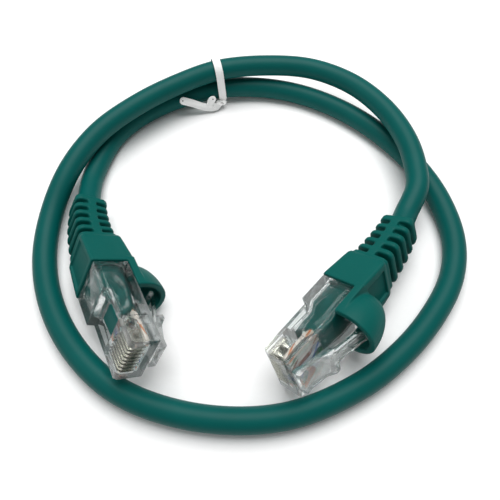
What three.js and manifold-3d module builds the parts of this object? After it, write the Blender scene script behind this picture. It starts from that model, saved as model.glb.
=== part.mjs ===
// An ethernet patch cable laid in one and a half loops, tied once, with a clear
// eight-way plug and a hooded boot at each end.  Millimetres, +Z up.
// Each plug is built in its own frame: x runs from the nose back, y across the
// contacts, z from the contact side to the latch side.
import * as THREE from "three";
import { mergeVertices } from "three/addons/utils/BufferGeometryUtils.js";
import Module from "manifold-3d";

const wasm = await Module();
wasm.setup();

// ---- driving dimensions ----
const FIT = 0.3; // gap between pieces that touch in the real cable

const CABLE_DIAMETER = 5.5;
const CABLE_SIDES = 10;
const CABLE_STEPS = 72;

const PLUG_WIDTH = 11.68;
const PLUG_LENGTH = 21.5;
const CONTACT_FACE = -3.1; // front of the contact side
const LATCH_FACE = 3.2;
const REAR_STEP = 13.9; // where the contact side thickens
const REAR_FACE = -4.6;

const PIN_COUNT = 8;
const PIN_PITCH = 1.02;
const PIN_THICKNESS = 0.35;
const SLOT_WIDTH = 0.62;
const SLOT_END = 5.6;
const PIN_RECESS = 0.45; // the blades sit this far below the contact side

const WIRE_DIAMETER = 0.9;
const WIRE_LEVEL = 0.85;
const WIRE_TIP = 1.3;
const PIN_TOP = CONTACT_FACE + PIN_RECESS;
const PIN_BOTTOM = WIRE_LEVEL - WIRE_DIAMETER / 2 - FIT;
const JACKET_TIP = 11.2; // where the jacket is stripped inside the plug
const SQUEEZED = [3.1, 2.2]; // half width and half height of the jacket gripped in the plug
const GRIP_CLEARANCE = 0.37; // round the gripped jacket

const LATCH_WIDTH = 6.2;
const LATCH_TAIL_WIDTH = 3.3;
const LATCH_SHOULDER = 8.4;
const LATCH_RISE = 4.3; // how far the free tail stands off the body
const LATCH_THICKNESS = 1.2;

const BOOT_FRONT = PLUG_LENGTH + FIT;
const BAND_LENGTH = 9.2;
const BAND_REAR = BOOT_FRONT + BAND_LENGTH;
const BAND_OVERHANG = 0.26; // the band's front stands this far outside the plug's sides
const BAND_TAPER = [1, 0.3]; // how much narrower and lower each half is at the rear
const BAND_HALF_WIDTH = [PLUG_WIDTH / 2 + BAND_OVERHANG, PLUG_WIDTH / 2 + BAND_OVERHANG - BAND_TAPER[0]];
const BAND_HALF_HEIGHT = [0.35 - REAR_FACE, 0.35 - REAR_FACE - BAND_TAPER[1]];
const PANEL_DEPTH = 0.7;
const ARM_LENGTH = 7.15;
const ARM_FRONT = BOOT_FRONT - ARM_LENGTH;
const ARM_INNER = LATCH_FACE + FIT;
const LATCH_UNDER_HOOD = 1.75; // the latch tail reaches this far in under the hood
const LATCH_LENGTH = ARM_FRONT + LATCH_UNDER_HOOD;
const HOOD_LENGTH = 9.9;
const HOOD_WALL = 1.4;
const HOOD_CLEARANCE = 1.2; // over the latch tail
const HOOD_CROWN = ARM_INNER + LATCH_RISE + LATCH_THICKNESS + HOOD_CLEARANCE + HOOD_WALL;
const TAIL_WALL = 0.75;
const TAIL_LENGTH = 14.9;
const BOOT_END = BAND_REAR + TAIL_LENGTH;
const CORE_RADIUS = CABLE_DIAMETER / 2 + FIT + TAIL_WALL;
const RIB_COUNT = 5;
const RIB_PITCH = 2.67;
const SLOT_GAP = 1.25;
const RIB_OVER_WIDTH = [1.05, 0.1]; // how far the first and last rib stand off the core
const RIB_OVER_HEIGHT = [0.6, 0];
const SPINE_HALF = 0.95;

const TIE_WIDTH = 2.1;
const TIE_THICKNESS = 0.6;

// Where each plug lies: nose centre, then heading, pitch and roll in degrees, and
// the bend of its boot tail: radius and the side it bends to in the y-z plane.
const PLUG_A = { nose: [-21.6, -31.5, 12.01], heading: 117.1, pitch: -9, roll: 34.4,
  bend: { radius: 44, side: 63 } };
const PLUG_B = { nose: [6.3, -33.3, 9.06], heading: 48.8, pitch: -2.4, roll: -25.6,
  bend: { radius: 70, side: -64.5 } };

// The free cable from boot A to boot B.
const ROUTE = [
  [-39.94, 10.08, 4.48], [-40.5, 14.2, 3.6], [-40.8, 19.4, 2.9], [-39.6, 26.5, 2.8],
  [-36.8, 34.4, 2.8], [-30.7, 42, 2.8], [-20.8, 48.4, 3.1], [-8.7, 52, 3.75],
  [3.5, 53, 3.1], [15, 50.4, 2.8], [26.5, 43.9, 2.8], [36.2, 34.8, 2.8],
  [43.6, 24, 2.8], [47.8, 13, 2.8], [49, 1, 2.8], [46.4, -9.2, 2.8],
  [40.2, -18.8, 2.8], [32, -27.3, 2.8], [22.2, -34.2, 2.8], [7, -40.05, 2.8],
  [-10, -40.3, 2.8], [-26, -35.5, 2.8], [-36.2, -27.6, 2.8], [-43.9, -16.9, 2.8],
  [-48.3, -4.5, 2.88], [-48.8, 8, 3.8], [-45.4, 19.6, 6.9], [-39.2, 30.6, 8.6],
  [-29.9, 40.2, 9.1], [-19.8, 47.5, 9.3], [-9.1, 52.3, 9.95], [4, 55.2, 9.2],
  [17.3, 54.2, 8.9], [28.3, 48, 8.9], [36, 38.4, 8.9], [40.2, 27.4, 8.9],
  [41.1, 18, 8.7], [40.5, 12.5, 8.4], [37.25, 6.07, 6.96], [35.44, 2.51, 7.12],
];
// Centres of the two strands the tie holds, and the line the strands run along.
const TIE_LOW = [-8.7, 52, 3.75];
const TIE_HIGH = [-9.1, 52.3, 9.95];
const TIE_ALONG = [0.965, 0.262, 0];

const GREEN = 0x16665c;
const CLEAR = 0xdfe9ea;
const GOLD = 0xc9a45a;
const WHITE = 0xf2f2f0;
const WIRE_COLOURS = [0xe07a2c, 0x2f8a4c, 0x2c5aa8, 0xc4d2e8, 0x7a4a34, 0xdcc8b8, 0xc8e0cc, 0xf0c8a8];

// ---- helpers ----
const V = (x, y, z) => new THREE.Vector3(x, y, z);
const mix = (a, b, t) => a + (b - a) * t;

function solid(geometry) {
  const g = geometry.clone();
  g.deleteAttribute("normal");
  g.deleteAttribute("uv");
  const m = mergeVertices(g, 1e-4);
  return new wasm.Manifold(new wasm.Mesh({
    numProp: 3,
    vertProperties: new Float32Array(m.attributes.position.array),
    triVerts: new Uint32Array(m.index.array),
  }));
}

function geometryOf(made) {
  const m = made.getMesh();
  const g = new THREE.BufferGeometry();
  g.setAttribute("position", new THREE.BufferAttribute(new Float32Array(m.vertProperties), 3));
  g.setIndex(new THREE.BufferAttribute(new Uint32Array(m.triVerts), 1));
  g.computeVertexNormals();
  return g;
}

function box(x0, x1, y0, y1, z0, z1) {
  return solid(new THREE.BoxGeometry(x1 - x0, y1 - y0, z1 - z0)
    .translate((x0 + x1) / 2, (y0 + y1) / 2, (z0 + z1) / 2));
}

// A plate with an x-z outline and a thickness across y.
function plate(outline, width, y = 0) {
  const shape = new THREE.Shape(outline.map(([a, b]) => new THREE.Vector2(a, b)));
  return solid(new THREE.ExtrudeGeometry(shape, { depth: width, bevelEnabled: false })
    .rotateX(Math.PI / 2).translate(0, y + width / 2, 0));
}

// A closed body through rings of points, each ring counter-clockwise about the travel.
function loft(rings, closed = false) {
  const n = rings[0].length, count = rings.length;
  const position = rings.flat().flatMap((p) => [p.x, p.y, p.z]);
  const index = [];
  for (let r = 0; r < (closed ? count : count - 1); r++) {
    const next = ((r + 1) % count) * n;
    for (let i = 0; i < n; i++) {
      const a = r * n + i, b = r * n + ((i + 1) % n), c = next + i, d = next + ((i + 1) % n);
      index.push(a, b, d, a, d, c);
    }
  }
  const last = (count - 1) * n;
  for (let i = 1; !closed && i < n - 1; i++)
    index.push(0, i + 1, i, last, last + i, last + i + 1);
  const g = new THREE.BufferGeometry();
  g.setAttribute("position", new THREE.BufferAttribute(new Float32Array(position), 3));
  g.setIndex(index);
  return solid(g);
}

const oval = (a, b, sides) => Array.from({ length: sides }, (_, i) => {
  const t = ((i + 0.5) / sides) * 2 * Math.PI;
  return [a * Math.cos(t), b * Math.sin(t)];
});

function roundedRect(a, b, radius, steps = 2) {
  const out = [];
  [[1, 1, 0], [-1, 1, 1], [-1, -1, 2], [1, -1, 3]].forEach(([sy, sz, quarter]) => {
    for (let i = 0; i <= steps; i++) {
      const t = ((quarter + i / steps) * Math.PI) / 2;
      out.push([sy * (a - radius) + radius * Math.cos(t), sz * (b - radius) + radius * Math.sin(t)]);
    }
  });
  return out;
}

function mesh(name, made, colour, clear = false) {
  const material = new THREE.MeshStandardMaterial({ color: colour, roughness: 0.5,
    transparent: clear, opacity: clear ? 0.5 : 1 });
  const m = new THREE.Mesh(geometryOf(made), material);
  m.name = name;
  return m;
}

// ---- one plug ----
// The plug's axis at distance s behind the nose: straight to the band, then an arc.
function axisAt(bend, s) {
  const along = V(1, 0, 0), side = THREE.MathUtils.degToRad(bend.side);
  const toward = V(0, Math.cos(side), Math.sin(side));
  const angle = Math.max(0, s - BAND_REAR) / bend.radius;
  const turn = new THREE.Quaternion().setFromAxisAngle(along.clone().cross(toward).normalize(), angle);
  const origin = V(Math.min(s, BAND_REAR) + bend.radius * Math.sin(angle), 0, 0)
    .addScaledVector(toward, bend.radius * (1 - Math.cos(angle)));
  return { origin, y: V(0, 1, 0).applyQuaternion(turn), z: V(0, 0, 1).applyQuaternion(turn) };
}

function ringAt(bend, s, section) {
  const { origin, y, z } = axisAt(bend, s);
  return section.map(([a, b]) => origin.clone().addScaledVector(y, a).addScaledVector(z, b));
}

const pinY = (i) => (i - (PIN_COUNT - 1) / 2) * PIN_PITCH;

function plugBody() {
  let body = plate([
    [0, CONTACT_FACE + 0.8], [0.7, CONTACT_FACE], [REAR_STEP, CONTACT_FACE],
    [REAR_STEP, REAR_FACE + 0.3], [REAR_STEP + 0.4, REAR_FACE], [PLUG_LENGTH, REAR_FACE],
    [PLUG_LENGTH, LATCH_FACE], [0.5, LATCH_FACE], [0, LATCH_FACE - 0.5],
  ], PLUG_WIDTH);
  const row = (PIN_COUNT * PIN_PITCH) / 2 + 0.05;
  const channel = WIRE_DIAMETER / 2 + 0.08;
  const straight = straightBend();
  const jaw = [SQUEEZED[0] + GRIP_CLEARANCE, SQUEEZED[1] + GRIP_CLEARANCE];
  let cut = box(WIRE_TIP - 0.3, 6.4, -row, row, WIRE_LEVEL - channel, WIRE_LEVEL + channel);
  const throat = (y, z0, z1) => [[y, z0], [y, z1], [-y, z1], [-y, z0]].map(([a, b]) => [a, b]);
  cut = cut.add(loft([
    ringAt(straight, 6.3, throat(row, WIRE_LEVEL - channel, WIRE_LEVEL + channel)),
    ringAt(straight, JACKET_TIP - 0.6, throat(jaw[0] + 0.1, -jaw[1] + 0.45, jaw[1] - 0.45)),
  ]));
  cut = cut.add(loft([
    ringAt(straight, JACKET_TIP - 0.7, roundedRect(...jaw, 1)),
    ringAt(straight, PLUG_LENGTH + 1, roundedRect(...jaw, 1)),
  ]));
  for (let i = 0; i < PIN_COUNT; i++)
    cut = cut.add(box(-1, SLOT_END, pinY(i) - SLOT_WIDTH / 2, pinY(i) + SLOT_WIDTH / 2,
      CONTACT_FACE - 1, WIRE_LEVEL - channel + 0.05));
  // window behind the contacts where the strain-relief wedge is pressed in
  cut = cut.add(plate([[SLOT_END + 1.6, CONTACT_FACE - 1], [SLOT_END + 1.6, CONTACT_FACE + 0.9],
    [JACKET_TIP - 0.8, CONTACT_FACE + 1.2], [JACKET_TIP + 0.2, CONTACT_FACE - 1]], 8));
  return body.subtract(cut);
}

function straightBend() {
  return { radius: 1e9, side: 0 };
}

function contact(i) {
  const rear = SLOT_END - 0.5, notch = -0.9;
  return plate([
    [0.35, PIN_BOTTOM], [0.35, PIN_TOP + 0.4], [0.75, PIN_TOP], [rear, PIN_TOP], [rear, notch],
    [4.3, notch], [4, PIN_BOTTOM], [3.5, PIN_BOTTOM], [3.2, notch], [2.2, notch], [1.9, PIN_BOTTOM],
  ], PIN_THICKNESS, pinY(i));
}

// Wires leave the jacket as two rows of four and fan out to the contact pitch.
function wire(i) {
  const pairY = (Math.floor(i / 2) - 1.5) * (WIRE_DIAMETER + 0.25);
  const pairZ = (i % 2 ? 1 : -1) * (WIRE_DIAMETER / 2 + 0.13);
  const stations = [[WIRE_TIP, 0, 0], [6.4, 0, 0], [8, 0.15, 0.5], [9.4, 0.7, 1], [JACKET_TIP - 0.3, 1, 1]];
  const r = WIRE_DIAMETER / 2;
  return loft(stations.map(([s, ty, tz]) => ringAt(straightBend(), s,
    oval(r, r, 8).map(([a, b]) => [a + mix(pinY(i), pairY, ty), b + mix(WIRE_LEVEL, pairZ, tz)]))));
}

function latch() {
  const foot = LATCH_FACE + FIT, slope = LATCH_RISE / LATCH_LENGTH, t = LATCH_THICKNESS;
  const strip = (x0, x1) => [
    [x0, foot + slope * x0], [x1, foot + slope * x1],
    [x1, foot + t + slope * x1], [x0, foot + t + slope * x0],
  ];
  let made = plate(strip(0.3, LATCH_SHOULDER), LATCH_WIDTH);
  made = made.add(plate(strip(LATCH_SHOULDER - 0.5, LATCH_LENGTH), LATCH_TAIL_WIDTH));
  const lug = foot + t + slope * LATCH_SHOULDER;
  made = made.add(plate([[5.4, foot + t + slope * 5.4 - 0.2], [LATCH_SHOULDER, lug - 0.2],
    [LATCH_SHOULDER, lug + 0.45], [7.2, lug + 0.45]], LATCH_WIDTH));
  return made;
}

function jacketEnd(bend) {
  const r = CABLE_DIAMETER / 2;
  const stations = [[JACKET_TIP, ...SQUEEZED], [PLUG_LENGTH, ...SQUEEZED], [BOOT_FRONT + 3, r, r],
    [BAND_REAR, r, r], [BAND_REAR + 5, r, r], [BAND_REAR + 10, r, r], [BOOT_END, r, r]];
  return loft(stations.map(([s, a, b]) => ringAt(bend, s, oval(a, b, 12))));
}

function bandBody(bend) {
  const ends = [BOOT_FRONT, BAND_REAR].map((s, i) =>
    ringAt(bend, s, roundedRect(BAND_HALF_WIDTH[i], BAND_HALF_HEIGHT[i], 0.7)));
  let made = loft(ends);
  for (const side of [-1, 1]) {
    const level = (s, depth) => side * (mix(BAND_HALF_HEIGHT[0], BAND_HALF_HEIGHT[1],
      (s - BOOT_FRONT) / (BAND_REAR - BOOT_FRONT)) - depth);
    const outline = [[BOOT_FRONT + 0.9, BAND_HALF_WIDTH[0] - 1.4],
      [BAND_REAR - 1, BAND_HALF_WIDTH[1] - 1.2]];
    const panel = outline.map(([s, y]) => {
      const low = level(s, PANEL_DEPTH), high = side * 9;
      const [z0, z1] = low < high ? [low, high] : [high, low];
      return ringAt(bend, s, [[y, z0], [y, z1], [-y, z1], [-y, z0]]);
    });
    if (side < 0) made = made.subtract(loft(panel));
    else { // behind the hood the panel is shorter
      const from = BOOT_FRONT + 2.8, y = BAND_HALF_WIDTH[0] - 1.8, low = level(from, PANEL_DEPTH);
      made = made.subtract(loft([ringAt(bend, from, [[y, low], [y, 9], [-y, 9], [-y, low]]), panel[1]]));
    }
  }
  return made;
}

function hood() {
  const ellipsoid = (length, a, b) => solid(new THREE.SphereGeometry(1, 20, 12)
    .rotateZ(Math.PI / 2).scale(length, a, b).translate(ARM_FRONT - 0.05, 0, BAND_HALF_HEIGHT[0]));
  const rise = HOOD_CROWN - BAND_HALF_HEIGHT[0];
  const outer = ellipsoid(HOOD_LENGTH, BAND_HALF_WIDTH[0], rise)
    .intersect(box(ARM_FRONT, 40, -9, 9, BAND_HALF_HEIGHT[0] - 0.6, 20));
  const arms = box(ARM_FRONT, BOOT_FRONT + 0.8, -BAND_HALF_WIDTH[0], BAND_HALF_WIDTH[0],
    ARM_INNER, BAND_HALF_HEIGHT[0]);
  const inside = BAND_HALF_WIDTH[0] - HOOD_WALL;
  const hollow = ellipsoid(HOOD_LENGTH - 2.6, inside, rise - HOOD_WALL)
    .intersect(box(ARM_FRONT - 1, 40, -9, 9, BAND_HALF_HEIGHT[0] - 0.3, 20))
    .add(box(ARM_FRONT - 1, BOOT_FRONT - 1.2, -inside, inside, ARM_INNER - 1, BAND_HALF_HEIGHT[0]));
  return outer.add(arms).subtract(hollow);
}

function tail(bend) {
  const core = CORE_RADIUS;
  const stations = [BAND_REAR - 0.5, BAND_REAR + 3.5, BAND_REAR + 7.5, BAND_REAR + 11, BOOT_END - 0.6];
  let made = loft(stations.map((s) => ringAt(bend, s, oval(core, core, 12))));
  const share = (s) => (s - BAND_REAR) / TAIL_LENGTH;
  const halfY = (s) => core + mix(RIB_OVER_WIDTH[0], RIB_OVER_WIDTH[1], share(s));
  const halfZ = (s) => core + mix(RIB_OVER_HEIGHT[0], RIB_OVER_HEIGHT[1], share(s));
  for (let i = 0; i < RIB_COUNT; i++) {
    const from = BAND_REAR + 1.1 + SLOT_GAP + i * RIB_PITCH - 0.02;
    const to = i === RIB_COUNT - 1 ? BOOT_END : from + RIB_PITCH - SLOT_GAP;
    const rim = 0.3;
    const section = (s, less) => roundedRect(halfY(s) - less, halfZ(s) - less, 1.5 - less);
    made = made.add(loft([
      ringAt(bend, from, section(from, rim)), ringAt(bend, from + rim, section(from, 0)),
      ringAt(bend, to - rim, section(to, 0)), ringAt(bend, to, section(to, rim)),
    ]));
  }
  for (const side of [-1, 1]) {
    const spine = (s) => {
      const [y0, y1] = side > 0 ? [core - 0.6, halfY(s) - 0.05] : [-halfY(s) + 0.05, 0.6 - core];
      return ringAt(bend, s, [[y1, -SPINE_HALF], [y1, SPINE_HALF], [y0, SPINE_HALF], [y0, -SPINE_HALF]]);
    };
    made = made.add(loft(stations.map((s) => spine(s))));
  }
  const root = ringAt(bend, BAND_REAR - 0.5, roundedRect(core + 1.1, core + 0.6, 1.5));
  const rootEnd = ringAt(bend, BAND_REAR + 1.1, roundedRect(core + 1, core + 0.5, 1.5));
  return made.add(loft([root, rootEnd]));
}

function boot(bend) {
  const bore = CABLE_DIAMETER / 2 + FIT;
  const hole = loft([[BOOT_FRONT - 1, SQUEEZED[0] + FIT, bore], [BOOT_FRONT + 3, bore, bore],
    [BAND_REAR, bore, bore], [BAND_REAR + 5, bore, bore], [BAND_REAR + 10, bore, bore],
    [BOOT_END + 1, bore, bore]].map(([s, a, b]) => ringAt(bend, s, oval(a, b, 12))));
  return bandBody(bend).add(hood()).add(tail(bend)).subtract(hole);
}

function placing({ nose, heading, pitch, roll }) {
  const rad = THREE.MathUtils.degToRad;
  const x = V(Math.cos(rad(heading)) * Math.cos(rad(pitch)),
    Math.sin(rad(heading)) * Math.cos(rad(pitch)), Math.sin(rad(pitch)));
  const level = V(0, 0, 1).addScaledVector(x, -x.z).normalize();
  const across = x.clone().cross(level);
  const y = level.clone().multiplyScalar(Math.cos(rad(roll))).addScaledVector(across, Math.sin(rad(roll)));
  return new THREE.Matrix4().makeBasis(x, y, x.clone().cross(y)).setPosition(...nose);
}

function plugEnd(side, place) {
  const group = new THREE.Group();
  group.name = "plug_" + side;
  const n = (piece) => "plug_" + side + "_" + piece;
  group.add(mesh(n("body"), plugBody(), CLEAR, true));
  group.add(mesh(n("latch"), latch(), CLEAR, true));
  for (let i = 0; i < PIN_COUNT; i++) {
    group.add(mesh(n("contact_" + (i + 1)), contact(i), GOLD));
    group.add(mesh(n("wire_" + (i + 1)), wire(i), WIRE_COLOURS[i]));
  }
  group.add(mesh(n("jacket_end"), jacketEnd(place.bend), GREEN));
  group.add(mesh("boot_" + side, boot(place.bend), GREEN));
  group.applyMatrix4(placing(place));
  return group;
}

// ---- cable and tie ----
function freeCable() {
  const path = new THREE.CatmullRomCurve3(ROUTE.map((p) => V(...p)), false, "centripetal");
  const shape = new THREE.Shape(oval(CABLE_DIAMETER / 2, CABLE_DIAMETER / 2, CABLE_SIDES)
    .map(([a, b]) => new THREE.Vector2(a, b)));
  return solid(new THREE.ExtrudeGeometry(shape, { steps: CABLE_STEPS, extrudePath: path }));
}

// A flat strip through stations; width lies along the given direction at each one.
function strip(stations, closed = false) {
  const rings = stations.map(({ at, wide, thick }) =>
    [[1, 0.6], [0.8, 1], [-0.8, 1], [-1, 0.6], [-1, -0.6], [-0.8, -1], [0.8, -1], [1, -0.6]]
      .map(([a, b]) => at.clone().addScaledVector(wide, (a * TIE_WIDTH) / 2)
        .addScaledVector(thick, (b * TIE_THICKNESS) / 2)));
  return loft(rings, closed);
}

function tie() {
  const low = V(...TIE_LOW), high = V(...TIE_HIGH), wide = V(...TIE_ALONG).normalize();
  const up = high.clone().sub(low);
  const half = up.length() / 2;
  up.normalize();
  const out = up.clone().cross(wide).normalize();
  const centre = low.clone().add(high).multiplyScalar(0.5);
  const radius = CABLE_DIAMETER / 2 + FIT + TIE_THICKNESS / 2;
  const loop = [];
  for (const end of [1, -1])
    for (let i = 0; i <= 6; i++) {
      const t = (i / 6) * Math.PI;
      const thick = out.clone().multiplyScalar(end * Math.cos(t)).addScaledVector(up, end * Math.sin(t));
      loop.push({ at: centre.clone().addScaledVector(up, end * half).addScaledVector(thick, radius),
        wide, thick });
    }
  let made = strip(loop, true);
  const tailAt = (points) => points.map(([x, y, z, wx, wy, wz], i, all) => {
    const a = V(...all[Math.max(0, i - 1)].slice(0, 3));
    const b = V(...all[Math.min(all.length - 1, i + 1)].slice(0, 3));
    const along = b.sub(a).normalize();
    const across = V(wx, wy, wz).addScaledVector(along, -V(wx, wy, wz).dot(along)).normalize();
    return { at: V(x, y, z), wide: across, thick: along.clone().cross(across) };
  });
  return made.add(strip(tailAt(LONG_TAIL))).add(strip(tailAt(SHORT_TAIL)));
}

// x, y, z of each station, then the direction of the strip's width there.
const LONG_TAIL = [
  [-7.6, 48.9, 2.4, 0.96, 0.26, 0], [-8.4, 47.6, 1.6, 0.7, 0.3, 0.6], [-10.3, 46.5, 1.6, 0.2, 0.3, 1],
  [-13.4, 46, 2.5, 0, 0.4, 1], [-16.5, 45.6, 4.2, 0, 0.5, 1], [-19.6, 44.9, 6, 0, 0.6, 1],
];
const SHORT_TAIL = [
  [-10.6, 46.5, 1.8, 0.9, 0.3, 0.3], [-11.5, 46.5, 3.5, 0.95, 0.2, 0.2], [-11, 46.8, 5.6, 0.9, 0.1, -0.3],
];

// ---- assembly ----
const ORIGIN = [-2.72, 9.61];
const root = new THREE.Group();
root.name = "patch_cable";
root.add(plugEnd("a", PLUG_A), plugEnd("b", PLUG_B));
root.add(mesh("cable_jacket", freeCable(), GREEN));
root.add(mesh("twist_tie", tie(), WHITE));
root.position.set(-ORIGIN[0], -ORIGIN[1], 0);

export default root;
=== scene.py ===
import math

import bmesh
import bpy
from bpy.props import FloatProperty, FloatVectorProperty, IntProperty, PointerProperty
from bpy.types import Operator, Panel, PropertyGroup
from mathutils import Matrix, Quaternion, Vector


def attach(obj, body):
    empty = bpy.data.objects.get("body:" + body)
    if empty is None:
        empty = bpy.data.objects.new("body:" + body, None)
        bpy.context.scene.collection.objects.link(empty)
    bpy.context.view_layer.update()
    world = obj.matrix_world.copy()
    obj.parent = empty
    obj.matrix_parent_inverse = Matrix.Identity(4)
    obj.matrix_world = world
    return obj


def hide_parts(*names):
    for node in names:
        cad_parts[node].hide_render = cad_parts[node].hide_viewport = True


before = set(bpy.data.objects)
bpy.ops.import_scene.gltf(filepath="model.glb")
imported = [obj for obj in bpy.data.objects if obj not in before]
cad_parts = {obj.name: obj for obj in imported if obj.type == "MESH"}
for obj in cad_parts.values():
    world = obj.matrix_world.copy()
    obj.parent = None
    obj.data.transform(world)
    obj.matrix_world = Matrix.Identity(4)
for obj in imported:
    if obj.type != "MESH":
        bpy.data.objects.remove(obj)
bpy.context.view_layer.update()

bl_info = {
    "name": "Ethernet patch cable",
    "version": (1, 0, 0),
    "blender": (4, 5, 0),
    "location": "3D View > Sidebar > Patch cable",
    "description": "Builds a coiled network patch cable with clear plugs and ribbed boots",
    "category": "Object",
}

MM = 0.001
PINS = 8
ENDS = ("a", "b")

# Sizes in millimetres.  Each plug has its own frame: x runs from the nose back,
# y across the contacts, z from the contact side to the latch side.
PLUG_LENGTH = 21.5
CONTACT_FACE = -3.1
LATCH_FACE = 3.2
NOSE_CHAMFER = (0.6, 0.7)  # on the contact side: along the plug, and up its nose
NOSE_BREAK = 0.4  # on the latch side
REAR_STEP = 13.9
REAR_FACE = -4.6
STEP_DRAFT = 0.25
BOOT_FRONT = 21.8
BAND_REAR = 31.0
BOOT_END = 45.9
BOOT_HALF_WIDTH = 6.1
BOOT_FACE = 4.95  # the band's two wide faces, each side of its middle

# The object's origin, in the frame that the lay of the cable was worked out in.
ORIGIN = Vector((-2.72, 9.61, 0))
# Nose centre, heading, pitch and roll in degrees, and the bend of the boot's tail:
# radius and the side of the y-z plane that it bends to.
LAY = {
    "a": dict(nose=(-21.6, -31.5, 12.01), heading=117.1, pitch=-9, roll=34.4, radius=44, side=63),
    "b": dict(nose=(6.3, -33.3, 9.06), heading=48.8, pitch=-2.4, roll=-25.6, radius=70, side=-64.5),
}


# ---- small helpers ----
def to_linear(hex_colour):
    """An sRGB hex colour as linear red, green and blue, and full alpha."""
    channels = [int(hex_colour[i:i + 2], 16) / 255 for i in (1, 3, 5)]
    return (*[c / 12.92 if c <= 0.04045 else ((c + 0.055) / 1.055) ** 2.4 for c in channels], 1.0)


def shade(colour, share):
    """The linear colour made darker or lighter."""
    return (*[min(1, c * share) for c in colour[:3]], 1.0)


def scale_of(size_mm):
    """The texture scale whose features are about this size."""
    return 1 / (size_mm * MM)


def add_node(tree, kind, inputs=None, **settings):
    """Adds one node, sets its settings and its inputs, and links those given as sockets."""
    node = tree.nodes.new(kind)
    for key, value in settings.items():
        setattr(node, key, value)
    for key, value in (inputs or {}).items():
        if isinstance(value, bpy.types.NodeSocket):
            tree.links.new(value, node.inputs[key])
        else:
            node.inputs[key].default_value = value
    return node


def new_material(name):
    made = bpy.data.materials.new(name)
    made.use_nodes = True
    made.node_tree.nodes.clear()
    return made, made.node_tree


# ---- settings that a user would change ----
class PatchCableSettings(PropertyGroup):
    cable_diameter: FloatProperty(
        name="Cable diameter", description="Outside of the jacket", default=0.0055, unit="LENGTH")
    plug_width: FloatProperty(
        name="Plug width", description="Across the contacts", default=0.01168, unit="LENGTH")
    pin_pitch: FloatProperty(
        name="Contact pitch", description="From contact to contact", default=0.00102, unit="LENGTH")
    tie_width: FloatProperty(
        name="Tie width", description="Width of the twist tie", default=0.0021, unit="LENGTH")
    tube_sides: IntProperty(
        name="Cable sides", description="Sides of the cable's round section", default=28)
    boot_cell: FloatProperty(
        name="Boot detail", description="Cell of the boot's mesh", default=0.00017, unit="LENGTH")


class PatchCableColours(PropertyGroup):
    jacket: FloatVectorProperty(
        name="Jacket", description="Green of the cable", subtype="COLOR",
        default=to_linear("#005450")[:3])
    boot: FloatVectorProperty(
        name="Boot", description="Green of the boots", subtype="COLOR",
        default=to_linear("#00554f")[:3])


def settings(context):
    return context.scene.patch_cable, context.scene.patch_cable_colours


# ---- materials ----
def flexible_pvc(name, colour, grain_mm, depth_mm, rough):
    """Flexible PVC, extruded or moulded: a satin skin with a fine grain, a little cloudy in its
    colour, and soft wide highlights."""
    made, tree = new_material(name)
    place = add_node(tree, "ShaderNodeTexCoord").outputs["Object"]
    cloud = add_node(tree, "ShaderNodeTexNoise", {"Vector": place, "Scale": scale_of(9)})
    skin = add_node(tree, "ShaderNodeTexNoise",
                    {"Vector": place, "Scale": scale_of(grain_mm), "Detail": 3.0}).outputs[0]
    tint = add_node(tree, "ShaderNodeMix", {
        "Factor": cloud.outputs[0], "A": shade(colour, 0.9), "B": shade(colour, 1.1)}, data_type="RGBA")
    gloss = add_node(tree, "ShaderNodeMapRange",
                     {"Value": skin, "To Min": rough - 0.06, "To Max": rough + 0.08})
    bump = add_node(tree, "ShaderNodeBump",
                    {"Height": skin, "Distance": depth_mm * MM, "Strength": 0.6})
    shader = add_node(tree, "ShaderNodeBsdfPrincipled", {
        "Base Color": tint.outputs["Result"], "Roughness": gloss.outputs[0],
        "Normal": bump.outputs[0], "IOR": 1.53, "Specular IOR Level": 0.12})
    add_node(tree, "ShaderNodeOutputMaterial", {"Surface": shader.outputs[0]})
    return made


def clear_polycarbonate():
    """Clear polycarbonate, injection moulded and polished: water clear with sharp glints, and
    faint flow waves from the mould."""
    made, tree = new_material("clear_polycarbonate")
    place = add_node(tree, "ShaderNodeTexCoord").outputs["Object"]
    waves = add_node(tree, "ShaderNodeTexNoise",
                     {"Vector": place, "Scale": scale_of(2.5), "Detail": 1.0}).outputs[0]
    gloss = add_node(tree, "ShaderNodeMapRange", {"Value": waves, "To Min": 0.01, "To Max": 0.05})
    bump = add_node(tree, "ShaderNodeBump",
                    {"Height": waves, "Distance": 0.015 * MM, "Strength": 0.3})
    shader = add_node(tree, "ShaderNodeBsdfPrincipled", {
        "Base Color": to_linear("#f4f8f7"), "Roughness": gloss.outputs[0], "Normal": bump.outputs[0],
        "IOR": 1.4, "Specular IOR Level": 0.4, "Transmission Weight": 1.0, "Alpha": 0.82})
    add_node(tree, "ShaderNodeOutputMaterial", {"Surface": shader.outputs[0]})
    return made


def gold_flash():
    """Gold flash over nickel on a stamped blade: pale gold, bright, with fine draw lines."""
    made, tree = new_material("gold_flash")
    place = add_node(tree, "ShaderNodeTexCoord").outputs["Object"]
    drawn = add_node(tree, "ShaderNodeMapping", {"Vector": place, "Scale": (1, 1, 6)}).outputs[0]
    lines = add_node(tree, "ShaderNodeTexNoise",
                     {"Vector": drawn, "Scale": scale_of(0.25), "Detail": 2.0}).outputs[0]
    tint = add_node(tree, "ShaderNodeMix", {
        "Factor": lines, "A": to_linear("#dcd8cc"), "B": to_linear("#efece2")}, data_type="RGBA")
    gloss = add_node(tree, "ShaderNodeMapRange", {"Value": lines, "To Min": 0.18, "To Max": 0.34})
    shader = add_node(tree, "ShaderNodeBsdfPrincipled", {
        "Base Color": tint.outputs["Result"], "Metallic": 1.0, "Roughness": gloss.outputs[0]})
    add_node(tree, "ShaderNodeOutputMaterial", {"Surface": shader.outputs[0]})
    return made


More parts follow.
